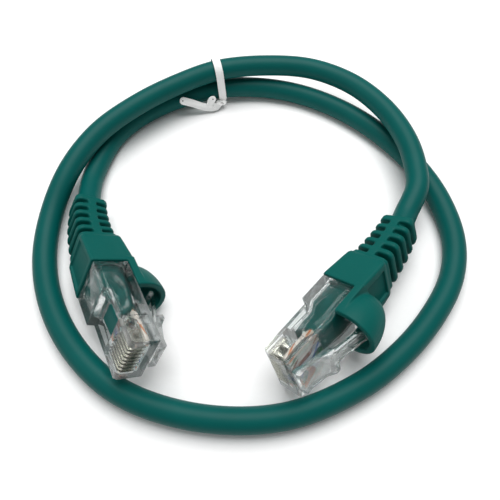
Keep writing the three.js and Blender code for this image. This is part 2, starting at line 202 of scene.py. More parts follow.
STRIPE_LEAD = 9  # mm along the wire for one turn of its spiral stripe
STRIPE_PITCH = 5.953  # mm along the wire from one stripe to the next
WAVE_RATE = 10  # radians that the wave texture turns in one unit at scale 1


def polyethylene(name, colour, stripe=None):
    """Polyethylene insulation, extruded on a copper wire: even, slightly waxy colour; the white
    wire of each pair carries a thin spiral stripe in its partner's colour."""
    made, tree = new_material(name)
    place = add_node(tree, "ShaderNodeTexCoord")
    mottle = add_node(tree, "ShaderNodeTexNoise",
                      {"Vector": place.outputs["Object"], "Scale": scale_of(0.6), "Detail": 2.0}).outputs[0]
    base = to_linear(colour)
    tint = add_node(tree, "ShaderNodeMix", {
        "Factor": mottle, "A": shade(base, 0.92), "B": base}, data_type="RGBA").outputs["Result"]
    if stripe:
        bands = add_node(tree, "ShaderNodeTexWave", {
            "Vector": place.outputs["UV"], "Scale": math.tau / WAVE_RATE * STRIPE_LEAD / STRIPE_PITCH,
            "Distortion": 0.0, "Detail": 0.0}, wave_type="BANDS", bands_direction="DIAGONAL")
        mask = add_node(tree, "ShaderNodeMapRange",
                        {"Value": bands.outputs["Fac"], "From Min": 0.86, "From Max": 0.94})
        tint = add_node(tree, "ShaderNodeMix", {
            "Factor": mask.outputs[0], "A": tint, "B": to_linear(stripe)},
            data_type="RGBA").outputs["Result"]
    gloss = add_node(tree, "ShaderNodeMapRange", {"Value": mottle, "To Min": 0.34, "To Max": 0.46})
    shader = add_node(tree, "ShaderNodeBsdfPrincipled", {
        "Base Color": tint, "Roughness": gloss.outputs[0], "IOR": 1.51})
    add_node(tree, "ShaderNodeOutputMaterial", {"Surface": shader.outputs[0]})
    return made


def tie_plastic():
    """White PVC strip, rolled on over a steel wire: satin, with a fine pressed grain."""
    made, tree = new_material("tie_pvc")
    place = add_node(tree, "ShaderNodeTexCoord").outputs["Object"]
    pressed = add_node(tree, "ShaderNodeTexNoise",
                       {"Vector": place, "Scale": scale_of(0.35), "Detail": 3.0}).outputs[0]
    tint = add_node(tree, "ShaderNodeMix", {
        "Factor": pressed, "A": to_linear("#f4f4f3"), "B": to_linear("#fdfdfc")}, data_type="RGBA")
    gloss = add_node(tree, "ShaderNodeMapRange", {"Value": pressed, "To Min": 0.42, "To Max": 0.58})
    bump = add_node(tree, "ShaderNodeBump",
                    {"Height": pressed, "Distance": 0.02 * MM, "Strength": 0.5})
    shader = add_node(tree, "ShaderNodeBsdfPrincipled", {
        "Base Color": tint.outputs["Result"], "Roughness": gloss.outputs[0],
        "Normal": bump.outputs[0], "IOR": 1.53})
    add_node(tree, "ShaderNodeOutputMaterial", {"Surface": shader.outputs[0]})
    return made


def steel_wire():
    """Annealed steel wire, cut by shears: dull dark grey with scratches."""
    made, tree = new_material("steel_wire")
    place = add_node(tree, "ShaderNodeTexCoord").outputs["Object"]
    scratches = add_node(tree, "ShaderNodeTexNoise",
                         {"Vector": place, "Scale": scale_of(0.15), "Detail": 2.0}).outputs[0]
    tint = add_node(tree, "ShaderNodeMix", {
        "Factor": scratches, "A": to_linear("#6a6a6c"), "B": to_linear("#8b8b8e")}, data_type="RGBA")
    gloss = add_node(tree, "ShaderNodeMapRange", {"Value": scratches, "To Min": 0.35, "To Max": 0.5})
    shader = add_node(tree, "ShaderNodeBsdfPrincipled", {
        "Base Color": tint.outputs["Result"], "Metallic": 1.0, "Roughness": gloss.outputs[0]})
    add_node(tree, "ShaderNodeOutputMaterial", {"Surface": shader.outputs[0]})
    return made


def matt_paper():
    """Matt white paper, uncoated: flat white with a trace of its fibres."""
    made, tree = new_material("matt_white_paper")
    place = add_node(tree, "ShaderNodeTexCoord").outputs["Object"]
    fibre = add_node(tree, "ShaderNodeTexNoise",
                     {"Vector": place, "Scale": scale_of(1.2), "Detail": 2.0})
    tint = add_node(tree, "ShaderNodeMix", {
        "Factor": fibre.outputs[0], "A": to_linear("#fbfbfb"), "B": to_linear("#ffffff")},
        data_type="RGBA")
    shader = add_node(tree, "ShaderNodeBsdfPrincipled",
                      {"Base Color": tint.outputs["Result"], "Roughness": 0.9})
    add_node(tree, "ShaderNodeOutputMaterial", {"Surface": shader.outputs[0]})
    return made


# ---- sections and solids: a solid is a list of points in millimetres, and its faces ----
def mix(start, end, share):
    return start + (end - start) * share


def circle(radius, sides):
    turns = [(i + 0.5) / sides * 2 * math.pi for i in range(sides)]
    return [(radius * math.cos(t), radius * math.sin(t)) for t in turns]


def oval(half_width, half_height, sides):
    return [(y * half_width, z * half_height) for y, z in circle(1, sides)]


def rounded_rect(half_width, half_height, radius, steps=4):
    out = []
    for side_y, side_z, quarter in ((1, 1, 0), (-1, 1, 1), (-1, -1, 2), (1, -1, 3)):
        for i in range(steps + 1):
            t = (quarter + i / steps) * math.pi / 2
            out.append((side_y * (half_width - radius) + radius * math.cos(t),
                        side_z * (half_height - radius) + radius * math.sin(t)))
    return out


def rounded_outline(points, radius, steps):
    """The outline with each corner replaced by a short arc."""
    out = []
    for i, corner in enumerate(points):
        p = Vector(corner)
        before = Vector(points[i - 1]) - p
        after = Vector(points[(i + 1) % len(points)]) - p
        cut = min(radius, before.length * 0.45, after.length * 0.45)
        start = p + before.normalized() * cut
        end = p + after.normalized() * cut
        for k in range(steps + 1):
            t = k / steps
            out.append(tuple(start * (1 - t) ** 2 + p * 2 * t * (1 - t) + end * t ** 2))
    return out


def loft(rings, closed=False):
    """A body through rings of points."""
    n, count = len(rings[0]), len(rings)
    points = [p for ring in rings for p in ring]
    faces = []
    for r in range(count if closed else count - 1):
        here, there = r * n, ((r + 1) % count) * n
        faces += [(here + i, here + (i + 1) % n, there + (i + 1) % n, there + i) for i in range(n)]
    if not closed:
        faces += [tuple(reversed(range(n))), tuple(range((count - 1) * n, count * n))]
    return points, faces


def prism(outline, half, y=0.0):
    """An x-z outline, half as thick to each side of y."""
    return loft([[Vector((x, y + side * half, z)) for x, z in outline] for side in (-1, 1)])


def block(x0, x1, y0, y1, z0, z1):
    return prism([(x0, z0), (x1, z0), (x1, z1), (x0, z1)], (y1 - y0) / 2, (y0 + y1) / 2)


def bend_frame(lay, s):
    """The plug's axis at s behind the nose: straight to the band's end, then an arc."""
    side = math.radians(lay["side"])
    toward = Vector((0, math.cos(side), math.sin(side)))
    angle = max(0.0, s - BAND_REAR) / lay["radius"]
    turn = Quaternion(Vector((1, 0, 0)).cross(toward), angle)
    origin = Vector((min(s, BAND_REAR) + lay["radius"] * math.sin(angle), 0, 0))
    origin += toward * lay["radius"] * (1 - math.cos(angle))
    return origin, turn @ Vector((0, 1, 0)), turn @ Vector((0, 0, 1))


def ring(lay, s, section):
    """A section set square across the plug's axis at s behind the nose."""
    origin, across, up = bend_frame(lay, s)
    return [origin + across * y + up * z for y, z in section]


def placing(lay):
    """The matrix that puts a plug's own frame, in metres, in the object's."""
    heading, pitch, roll = (math.radians(lay[key]) for key in ("heading", "pitch", "roll"))
    x = Vector((math.cos(heading) * math.cos(pitch), math.sin(heading) * math.cos(pitch),
                math.sin(pitch)))
    level = (Vector((0, 0, 1)) - x * x.z).normalized()
    y = level * math.cos(roll) + x.cross(level) * math.sin(roll)
    made = Matrix((x, y, x.cross(y))).transposed().to_4x4()
    made.translation = (Vector(lay["nose"]) - ORIGIN) * MM
    return made


def catmull_rom(points, per_span):
    """A centripetal Catmull-Rom curve through the points."""
    ends = [points[0] * 2 - points[1], *points, points[-1] * 2 - points[-2]]
    out = []
    for i in range(len(points) - 1):
        p = ends[i:i + 4]
        d = [max((p[k + 1] - p[k]).length ** 0.5, 1e-9) for k in range(3)]
        leave = ((p[1] - p[0]) / d[0] - (p[2] - p[0]) / (d[0] + d[1]) + (p[2] - p[1]) / d[1]) * d[1]
        arrive = ((p[2] - p[1]) / d[1] - (p[3] - p[1]) / (d[1] + d[2]) + (p[3] - p[2]) / d[2]) * d[1]
        for k in range(per_span):
            t = k / per_span
            out.append(p[1] * (2 * t ** 3 - 3 * t ** 2 + 1) + leave * (t ** 3 - 2 * t ** 2 + t)
                       + p[2] * (3 * t ** 2 - 2 * t ** 3) + arrive * (t ** 3 - t ** 2))
    return out + [points[-1]]


def heading_at(path, i):
    return (path[min(i + 1, len(path) - 1)] - path[max(i - 1, 0)]).normalized()


def tube(path, radius, sides):
    """A round tube along a path, turning as little as it can, and each ring's way along it."""
    rings, lengths, along = [], [], 0.0
    normal = Vector((0, 0, 1))
    for i, point in enumerate(path):
        ahead = heading_at(path, i)
        normal = (normal - ahead * normal.dot(ahead)).normalized()
        other = ahead.cross(normal)
        if i:
            along += (point - path[i - 1]).length
        lengths.append(along)
        rings.append([point + normal * a + other * b for a, b in circle(radius, sides)])
    return rings, lengths


# ---- objects ----
def new_object(name, *solids):
    """One mesh object from solids, still in millimetres."""
    points, faces = [], []
    for solid_points, solid_faces in solids:
        faces += [[i + len(points) for i in face] for face in solid_faces]
        points += [tuple(p) for p in solid_points]
    mesh = bpy.data.meshes.new(name)
    mesh.from_pydata(points, [], faces)
    work = bmesh.new()
    work.from_mesh(mesh)
    bmesh.ops.recalc_face_normals(work, faces=work.faces)
    work.to_mesh(mesh)
    work.free()
    made = bpy.data.objects.new(name, mesh)
    bpy.context.scene.collection.objects.link(made)
    return made


def shaped(obj, kind, **settings):
    """Adds one modifier and applies it."""
    modifier = obj.modifiers.new(kind, kind)
    for key, value in settings.items():
        setattr(modifier, key, value)
    bpy.context.view_layer.update()
    result = obj.evaluated_get(bpy.context.evaluated_depsgraph_get())
    mesh = bpy.data.meshes.new_from_object(result)
    obj.modifiers.clear()
    obj.data = mesh
    return obj


def eased(obj, width, segments, above):
    """Rounds every edge that turns by more than so many degrees."""
    return shaped(obj, "BEVEL", width=width, segments=segments, limit_method="ANGLE",
                  angle_limit=math.radians(above))


def combined(obj, operation, *solids, cell=None):
    """Adds solids to the object, or cuts them from it, one after the other, or at once where
    they are first melted into one with cells of the given size."""
    for group in ([solids] if cell else [[solid] for solid in solids]):
        tool = new_object("tool", *group)
        if cell:
            shaped(tool, "REMESH", mode="VOXEL", voxel_size=cell)
        shaped(obj, "BOOLEAN", object=tool, operation=operation, solver="EXACT")
        bpy.data.objects.remove(tool)
    return obj


def placed(obj, material, body, nodes=(), place=None, smooth_angle=None):
    """Scales a finished piece to metres, puts it in place and ties it to its CAD body."""
    obj.data.transform(Matrix.Scale(MM, 4))
    if place is not None:
        obj.matrix_world = place
    obj.data.materials.clear()
    obj.data.materials.append(material)
    obj.data.shade_smooth()
    if smooth_angle is not None:
        obj.data.set_sharp_from_angle(angle=math.radians(smooth_angle))
    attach(obj, body)
    if nodes:
        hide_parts(*nodes)
    return obj


def wrap_uv(obj, sides, lengths):
    """Lays u along a tube, by the given way along, and v round it, from 0 to 1."""
    layer = obj.data.uv_layers.new(name="along")
    for face in obj.data.polygons:
        corners = [obj.data.loops[i].vertex_index for i in face.loop_indices]
        columns = [corner % sides for corner in corners]
        at_seam = max(columns) == sides - 1 and min(columns) == 0
        for loop, corner, column in zip(face.loop_indices, corners, columns):
            v = (column + sides if at_seam and column == 0 else column) / sides
            layer.data[loop].uv = (lengths[corner // sides], v)


# ---- the cable ----
# The free cable from boot a to boot b, in metres.
ROUTE = [
    (-0.03994, 0.01008, 0.00448), (-0.0405, 0.0142, 0.0036), (-0.0408, 0.0194, 0.0029),
    (-0.0396, 0.0265, 0.0028), (-0.0368, 0.0344, 0.0028), (-0.0307, 0.042, 0.0028),
    (-0.0208, 0.0484, 0.0031), (-0.0087, 0.052, 0.00375), (0.0035, 0.053, 0.0031),
    (0.015, 0.0504, 0.0028), (0.0265, 0.0439, 0.0028), (0.0362, 0.0348, 0.0028),
    (0.0436, 0.024, 0.0028), (0.0478, 0.013, 0.0028), (0.049, 0.001, 0.0028),
    (0.0464, -0.0092, 0.0028), (0.0402, -0.0188, 0.0028), (0.032, -0.0273, 0.0028),
    (0.0222, -0.0342, 0.0028), (0.007, -0.04005, 0.0028), (-0.01, -0.0403, 0.0028),
    (-0.026, -0.0355, 0.0028), (-0.0362, -0.0276, 0.0028), (-0.0439, -0.0169, 0.0028),
    (-0.0483, -0.0045, 0.00288), (-0.0488, 0.008, 0.0038), (-0.0454, 0.0196, 0.0069),
    (-0.0392, 0.0306, 0.0086), (-0.0299, 0.0402, 0.0091), (-0.0198, 0.0475, 0.0093),
    (-0.0091, 0.0523, 0.00995), (0.004, 0.0552, 0.0092), (0.0173, 0.0542, 0.0089),
    (0.0283, 0.048, 0.0089), (0.036, 0.0384, 0.0089), (0.0402, 0.0274, 0.0089),
    (0.0411, 0.018, 0.0087), (0.0405, 0.0125, 0.0084), (0.03725, 0.00607, 0.00696),
    (0.03544, 0.00251, 0.00712),
]
STEPS_PER_SPAN = 12


class PATCH_OT_cable(Operator):
    """Lays the free cable along its route, from boot to boot"""
    bl_idname = "patch_cable.cable"
    bl_label = "Cable"

    def execute(self, context):
        sizes, colours = settings(context)
        path = catmull_rom([Vector(p) / MM - ORIGIN for p in ROUTE], STEPS_PER_SPAN)
        rings, lengths = tube(path, sizes.cable_diameter / MM / 2, sizes.tube_sides)
        cable = new_object("cable", loft(rings))
        wrap_uv(cable, sizes.tube_sides, lengths)
        pvc = flexible_pvc("extruded_pvc_jacket", colours.jacket, grain_mm=0.5, depth_mm=0.012, rough=0.44)
        placed(cable, pvc, "cable_assembly", ["cable_jacket"], smooth_angle=60)
        return {"FINISHED"}


# ---- the boots ----
# The band: place behind the nose, half width and half height.
BAND = [(BOOT_FRONT, BOOT_HALF_WIDTH, BOOT_FACE), (24.5, 5.82, 4.88), (28, 5.45, 4.78),
        (30.3, 5.2, 4.68), (BAND_REAR, 4.95, 4.45)]
BAND_CORNER = 0.55
# The tail: half width and half height where it leaves the band, and at its end.
TAIL_START = (4.85, 4.45)
TAIL_FINISH = (3.9, 3.8)
TAIL_PLACES = [BAND_REAR - 1, 33, 35.5, 38, 40.5, 43, BOOT_END - 0.5]
COLLAR_REAR = BAND_REAR + 1.1
COLLAR_CORNER = 1.4
CORE_RADIUS = 3.2
CORE_SIDES = 28
RIB_COUNT = 5
RIB_PITCH = 2.67
RIB_GAP = 1.25
RIB_CORNER = 1.5
RIB_RIM = 0.28
SPINE_FOOT = 2.9
SPINE_HALF = 0.95
SPINE_INSET = 0.06
# The arms that reach forward beside the plug, and the saddle that joins them.
ARM_FRONT = 14.65
ARM_INNER = 3.3
ARM_GAP = 4.75  # half the clear width between them
SADDLE_FRONT = 20.8
HOOD_CROWN = 11.6
HOOD_LENGTH = 9.9
HOOD_WALL = 1.25
HOOD_REAR_WALL = 2.4
HOOD_SINK = 0.7  # how far the hood reaches into the band
HOOD_RINGS = 15
HOOD_SIDES = 40
# The bore that the jacket runs in: place behind the nose and half width.
BORE_HALF = 2.95
BORE = [(BOOT_FRONT - 0.5, 3.6), (25, 3), *[(s, BORE_HALF) for s in (BAND_REAR, 35, 39, 43, BOOT_END + 1)]]
# A sunk panel on each of the band's wide faces: the place and half width of its two ends, the
# level that the cut starts from, outside, and the level of its floor.
CONTACT_PANEL = (((22.7, 4.75), (30, 3.9)), -6, -4.25)
LATCH_PANEL = (((23.6, 3.9), (29.9, 3.4)), 6, 4.13)
# Cells of the cutting body and of the last remesh, as shares of the boot's cell, and the share
# of faces that is left in the end.
CUT_CELL = 0.9
LAST_CELL = 0.85
FACES_KEPT = 0.28


def tail_half(s):
    """The tail's half width and half height at s behind the nose."""
    share = (s - BAND_REAR) / (BOOT_END - BAND_REAR)
    return [mix(start, end, share) for start, end in zip(TAIL_START, TAIL_FINISH)]


def tail_section(s, corner, less=0.0):
    """The tail's outline at s behind the nose, drawn in by a little where asked."""
    half_y, half_z = tail_half(s)
    return rounded_rect(half_y - less, half_z - less, corner - less)


def boot_tail(lay):
    """The core, the collar behind the band, five ribs and the two spines that join them on the
    narrow faces."""
    solids = [loft([ring(lay, s, circle(CORE_RADIUS, CORE_SIDES)) for s in TAIL_PLACES]),
              loft([ring(lay, s, tail_section(s, COLLAR_CORNER)) for s in (BAND_REAR - 1, COLLAR_REAR)])]
    for i in range(RIB_COUNT):
        start = COLLAR_REAR + RIB_GAP + i * RIB_PITCH
        end = BOOT_END if i == RIB_COUNT - 1 else start + RIB_PITCH - RIB_GAP
        solids.append(loft([ring(lay, start, tail_section(start, RIB_CORNER, RIB_RIM)),
                            ring(lay, start + RIB_RIM, tail_section(start, RIB_CORNER)),
                            ring(lay, end - RIB_RIM, tail_section(end, RIB_CORNER)),
                            ring(lay, end, tail_section(end, RIB_CORNER, RIB_RIM))]))
    for side in (-1, 1):
        rings = []
        for s in TAIL_PLACES:
            face = side * (tail_half(s)[0] - SPINE_INSET)
            foot = side * SPINE_FOOT
            rings.append(ring(lay, s, [(foot, -SPINE_HALF), (foot, SPINE_HALF),
                                       (face, SPINE_HALF), (face, -SPINE_HALF)]))
        solids.append(loft(rings))
    return solids


def dome(length, half_y, rise, mouth=ARM_FRONT):
    """Half an ellipsoid that stands on the band's latch side, and runs straight on to its mouth."""
    rings = []
    for i in range(HOOD_RINGS):
        t = i / (HOOD_RINGS - 1)
        s = 1 - math.cos(t * math.pi / 2) if t < 1 else 0.9999
        radius = math.sqrt(max(1 - s ** 2, 1e-4))
        turns = [k / HOOD_SIDES * 2 * math.pi for k in range(HOOD_SIDES)]
        rings.append([Vector((ARM_FRONT + length * s, half_y * radius * math.cos(turn),
                              max(BOOT_FACE - HOOD_SINK, BOOT_FACE + rise * radius * math.sin(turn))))
                      for turn in turns])
    if mouth < ARM_FRONT:
        rings.insert(0, [Vector((mouth, p.y, p.z)) for p in rings[0]])
    return loft(rings)


def boot_body(lay):
    """Everything that a boot is made of, before it is hollowed."""
    arms = [block(ARM_FRONT, BOOT_FRONT + 1, y0, y1, ARM_INNER, BOOT_FACE)
            for y0, y1 in ((-BOOT_HALF_WIDTH, -ARM_GAP), (ARM_GAP, BOOT_HALF_WIDTH))]
    saddle = block(SADDLE_FRONT, BOOT_FRONT + 1, -BOOT_HALF_WIDTH, BOOT_HALF_WIDTH, ARM_INNER, BOOT_FACE)
    hood = dome(HOOD_LENGTH, BOOT_HALF_WIDTH, HOOD_CROWN - BOOT_FACE)
    band = loft([ring(lay, s, rounded_rect(half_y, half_z, BAND_CORNER)) for s, half_y, half_z in BAND])
    return [band, *boot_tail(lay), *arms, saddle, hood]


def sunk_panel(ends, outside, floor):
    return loft([[Vector((x, side * half, z)) for side, z in
                  ((-1, outside), (1, outside), (1, floor), (-1, floor))] for x, half in ends])


def boot_cuts(lay):
    """The hood's hollow, the gap over the lever, the two panels and the bore."""
    hollow = dome(HOOD_LENGTH - HOOD_REAR_WALL, BOOT_HALF_WIDTH - HOOD_WALL,
                  HOOD_CROWN - BOOT_FACE - HOOD_WALL, mouth=ARM_FRONT - 1)
    gap = block(ARM_FRONT - 1, SADDLE_FRONT, -ARM_GAP, ARM_GAP, 2, BOOT_FACE + 0.15)
    bore = loft([ring(lay, s, oval(half, BORE_HALF, CORE_SIDES)) for s, half in BORE])
    return [hollow, gap, sunk_panel(*CONTACT_PANEL), sunk_panel(*LATCH_PANEL), bore]


class PATCH_OT_boots(Operator):
    """Moulds the two strain-relief boots: band, arms, hood and ribbed tail"""
    bl_idname = "patch_cable.boots"
    bl_label = "Boots"

    def execute(self, context):
        sizes, colours = settings(context)
        pvc = flexible_pvc("moulded_pvc_boot", colours.boot, grain_mm=0.35, depth_mm=0.02, rough=0.5)
        cell = sizes.boot_cell / MM
        for end in ENDS:
            lay = LAY[end]
            boot = new_object(f"boot_{end}_moulding", *boot_body(lay))
            shaped(boot, "REMESH", mode="VOXEL", voxel_size=cell)
            combined(boot, "DIFFERENCE", *boot_cuts(lay), cell=cell * CUT_CELL)
            shaped(boot, "REMESH", mode="VOXEL", voxel_size=cell * LAST_CELL)
            shaped(boot, "SMOOTH", factor=0.5, iterations=2)
            shaped(boot, "DECIMATE", ratio=FACES_KEPT)
            placed(boot, pvc, "cable_assembly", [f"boot_{end}"], placing(lay))
        return {"FINISHED"}


# ---- the plugs ----
SLOT_END = 5.6
SLOT_HALF = 0.3
WIRE_LEVEL = 0.85
WIRE_TIP = 1.3
WIRE_RADIUS = 0.45
WIRE_SIDES = 14
CHANNEL_HALF = 0.53
CHANNEL_END = 6.4
# The gripped jacket in the plug: place behind the nose, half width, and its two levels.
GRIPPED = [(9.1, 2.8, -1.9, 1.4), (9.35, 3.15, -2.3, 1.75), (13.2, 3.3, -2.5, 2.1),
           (15.4, 3.8, -3.5, 2.2), (20.3, 3.7, -3.4, 2.3)]
JACKET_CORNER = 1.3
JACKET_SLANT = 0.6  # the jacket was cut off aslant, so its end reaches further on the contact side
JACKET_SLANT_END = 10
JACKET_ROOM = (0.22, 0.2)  # clearance round it, across and in level
MOUTH = (4.2, -3.75, 2.75)  # the plug's rear opening: half width and its two levels
# The window over the wedge that grips the jacket, on the contact side.
WEDGE = [(6.8, CONTACT_FACE - 1), (7.2, -2.3), (12.2, -2.1), (13.2, CONTACT_FACE - 1)]
WEDGE_HALF = 4
SIDE_STEP = (4.2, 6.6)  # its front and rear ends
SIDE_STEP_DEPTH = 0.18


def pin_y(i, pitch):
    return (i - (PINS - 1) / 2) * pitch


def jacket_ring(x, half_y, low, high):
    slant = JACKET_SLANT if x < JACKET_SLANT_END else 0
    middle = (low + high) / 2
    return [Vector((x + slant * (middle + z), y, middle + z))
            for y, z in rounded_rect(half_y, (high - low) / 2, JACKET_CORNER)]


def plug_outline():
    return [(0, CONTACT_FACE + NOSE_CHAMFER[1]), (NOSE_CHAMFER[0], CONTACT_FACE),
            (REAR_STEP, CONTACT_FACE), (REAR_STEP + STEP_DRAFT, REAR_FACE), (PLUG_LENGTH, REAR_FACE),
            (PLUG_LENGTH, LATCH_FACE), (NOSE_BREAK, LATCH_FACE), (0, LATCH_FACE - NOSE_BREAK)]


def plug_cuts(half, pitch):
    """The jacket's cavity, the throat where the wires spread, their channel, the contact slots,
    the wedge window and the shallow steps on the narrow faces."""
    room_y, room_z = JACKET_ROOM
    low, high = WIRE_LEVEL - CHANNEL_HALF, WIRE_LEVEL + CHANNEL_HALF
    row = pitch * PINS / 2 + 0.05
    cavity = loft([jacket_ring(x, a + room_y, lo - room_z, hi + room_z) for x, a, lo, hi in GRIPPED[1:]]
                  + [jacket_ring(PLUG_LENGTH + past, *MOUTH) for past in (-0.9, 1)])
    throat = loft([[Vector((x, y, z)) for y, z in ((a, lo), (a, hi), (-a, hi), (-a, lo))]
                   for x, a, lo, hi in ((6.2, row, low, high), (8.0, 3.6, -2.2, 1.75),
                                        (10.6, 3.4, -2.5, 2.1))])
    cuts = [cavity, throat, block(WIRE_TIP - 0.3, CHANNEL_END, -row, row, low, high)]
    for i in range(PINS):
        y = pin_y(i, pitch)
        cuts.append(block(-1, SLOT_END, y - SLOT_HALF, y + SLOT_HALF, CONTACT_FACE - 1, low + 0.05))
    cuts.append(prism(WEDGE, WEDGE_HALF))
    for side in (-1, 1):
        across = sorted((side * (half - SIDE_STEP_DEPTH), side * (half + 1)))
        cuts.append(block(*SIDE_STEP, *across, CONTACT_FACE + 0.6, LATCH_FACE - 0.9))
    return cuts


class PATCH_OT_plug_bodies(Operator):
    """Moulds the two clear plug bodies, with their contact slots, wire channels and wedge window"""
    bl_idname = "patch_cable.plug_bodies"
    bl_label = "Plug bodies"

    def execute(self, context):
        sizes, _ = settings(context)
        half = sizes.plug_width / MM / 2
        clear = clear_polycarbonate()
        for end in ENDS:
            body = new_object(f"plug_{end}_moulding", prism(plug_outline(), half))
            eased(body, width=0.16, segments=3, above=20)
            combined(body, "DIFFERENCE", *plug_cuts(half, sizes.pin_pitch / MM))
            placed(body, clear, "cable_assembly", [f"plug_{end}_body"],
                   placing(LAY[end]), smooth_angle=25)
        return {"FINISHED"}


# The latch lever: its underside rises in a straight line from the foot to the tail.
LATCH_TAIL = 16.4
LATCH_TAIL_HALF = 1.65
LATCH_HALF = 3.1
LATCH_FOOT = LATCH_FACE + 0.12
LATCH_RISE = 4.3
LATCH_TOP = 5.35
SHOULDER = 8.4
GROOVE_FRONT = 9.2
GROOVE_HALF = 0.95


def above_lever(x, height):
    """A point of the lever's outline, at a height over its sloping underside."""
    return x, LATCH_FOOT + 0.25 + LATCH_RISE / LATCH_TAIL * x + height


class PATCH_OT_latches(Operator):
    """Moulds the two latch levers with their roots, shoulders and tails"""
    bl_idname = "patch_cable.latches"
    bl_label = "Latch levers"

    def execute(self, context):
        clear = bpy.data.materials["clear_polycarbonate"]
        root = [(0.2, LATCH_FOOT), (0.9, LATCH_FOOT), (1.7, LATCH_FOOT + 0.25), above_lever(2.6, 0),
                above_lever(SHOULDER, 0), above_lever(SHOULDER, 1.2), (2.2, LATCH_TOP),
                (0.5, LATCH_TOP), (0.2, 5.0)]
        tail = [above_lever(7.8, 0), above_lever(LATCH_TAIL, 0), above_lever(LATCH_TAIL, 0.95),
                above_lever(7.8, 1.15)]
        lug_top = above_lever(SHOULDER, 1.75)
        lug = [above_lever(5.2, 1.0), above_lever(SHOULDER, 1.0), lug_top, (7.3, lug_top[1])]
        groove = [above_lever(GROOVE_FRONT, 0.75), above_lever(LATCH_TAIL - 1, 0.6),
                  (LATCH_TAIL - 1, 12), (GROOVE_FRONT, 12)]
        for end in ENDS:
            latch = new_object(f"latch_{end}_lever", prism(root, LATCH_HALF))
            combined(latch, "UNION", prism(tail, LATCH_TAIL_HALF), prism(lug, LATCH_HALF))
            combined(latch, "DIFFERENCE", prism(groove, GROOVE_HALF))
            eased(latch, width=0.14, segments=3, above=25)
            placed(latch, clear, f"latch_{end}", [f"plug_{end}_latch"],
                   placing(LAY[end]), smooth_angle=25)
        return {"FINISHED"}


# A blade: a flat contact edge, and two teeth that pierce the wire over it.
BLADE = [(0.22, 0.28), (0.22, -2.75), (5.1, -2.75), (5.1, -1.7), (4.3, -1.6), (3.95, 0.35),
         (3.5, 0.35), (3.2, -1.6), (2.2, -1.6), (1.85, 0.35), (1.4, 0.35), (1.0, -1.4), (0.7, 0.28)]
BLADE_HALF = 0.175


class PATCH_OT_contacts(Operator):
    """Stamps the sixteen contact blades"""
    bl_idname = "patch_cable.contacts"
    bl_label = "Contacts"

    def execute(self, context):
        sizes, _ = settings(context)
        gold = gold_flash()
        outline = rounded_outline(BLADE, radius=0.12, steps=2)
        for end in ENDS:
            for i in range(PINS):
                y = pin_y(i, sizes.pin_pitch / MM)
                blade = new_object(f"contact_{end}_{i + 1}", prism(outline, BLADE_HALF, y))
                eased(blade, width=0.05, segments=2, above=50)
                placed(blade, gold, "cable_assembly", [f"plug_{end}_contact_{i + 1}"],
                       placing(LAY[end]), smooth_angle=40)
        return {"FINISHED"}


WIRES = [  # from the far side of the row to the near side: name, colour, stripe
    ("orange", "#e0742c", None), ("green", "#2f7a4c", None), ("blue", "#2c55a0", None),
    ("white_blue", "#dfe4ee", "#3c64b0"), ("brown", "#8a4a34", None),
    ("white_brown", "#efe9e4", "#8a5a44"), ("white_green", "#e6ece6", "#58806a"),
    ("white_orange", "#f2e6dc", "#e08040"),
]
# A wire from its contact back into the jacket: place behind the nose, and the share of its way
# that it has gone to its pair, across and in level.
WIRE_STATIONS = [(WIRE_TIP, 0, 0), (4, 0, 0), (CHANNEL_END, 0, 0), (7.8, 0.15, 0.4), (9, 0.5, 1),
                 (10, 0.75, 1)]
PAIR_PITCH = 1.2
PAIR_LEVELS = (-0.4, 0.75)


class PATCH_OT_wires(Operator):
    """Runs the sixteen insulated wires from the jackets to the contacts"""
    bl_idname = "patch_cable.wires"
    bl_label = "Wires"

    def execute(self, context):
        sizes, _ = settings(context)
        skins = [polyethylene("polyethylene_" + name, colour, stripe) for name, colour, stripe in WIRES]
        for end in ENDS:
            for i in range(PINS):
                y, pair_y = pin_y(i, sizes.pin_pitch / MM), (i // 2 - 1.5) * PAIR_PITCH
                pair_z = PAIR_LEVELS[i % 2]
                path = catmull_rom([Vector((s, mix(y, pair_y, across), mix(WIRE_LEVEL, pair_z, level)))
                                    for s, across, level in WIRE_STATIONS], 6)
                rings, lengths = tube(path, WIRE_RADIUS, WIRE_SIDES)
                wire = new_object(f"wire_{end}_{i + 1}", loft(rings))
                wrap_uv(wire, WIRE_SIDES, [s / STRIPE_LEAD for s in lengths])
                placed(wire, skins[i], "cable_assembly",
                       [f"plug_{end}_wire_{i + 1}"], placing(LAY[end]), smooth_angle=50)
        return {"FINISHED"}


class PATCH_OT_jacket_ends(Operator):
    """Runs the gripped ends of the jacket through the boots into the plugs"""
    bl_idname = "patch_cable.jacket_ends"
    bl_label = "Jacket ends"

    def execute(self, context):
        sizes, _ = settings(context)
        radius = sizes.cable_diameter / MM / 2
        pvc = bpy.data.materials["extruded_pvc_jacket"]
        stations = [(22.5, 3.0, 2.6, 1.9)]  # where it turns from flattened to round
        stations += [(s, radius, radius, radius - 0.01) for s in (24, BAND_REAR, 34, 38, 42, BOOT_END + 0.15)]
        for end in ENDS:
            rings = [jacket_ring(*grip) for grip in GRIPPED]
            rings += [ring(LAY[end], s, rounded_rect(half_y, half_z, corner))
                      for s, half_y, half_z, corner in stations]
            jacket = new_object(f"jacket_end_{end}", loft(rings))
            placed(jacket, pvc, "cable_assembly", [f"plug_{end}_jacket_end"],
                   placing(LAY[end]), smooth_angle=50)
        return {"FINISHED"}


# ---- the tie ----
TIE_LOW = Vector((-8.7, 52, 3.75))  # the two strands where the tie holds them
TIE_HIGH = Vector((-9.1, 52.3, 9.95))
TIE_ALONG = Vector((0.965, 0.262, 0))
TIE_THICKNESS = 0.62
TIE_CLEARANCE = 0.3
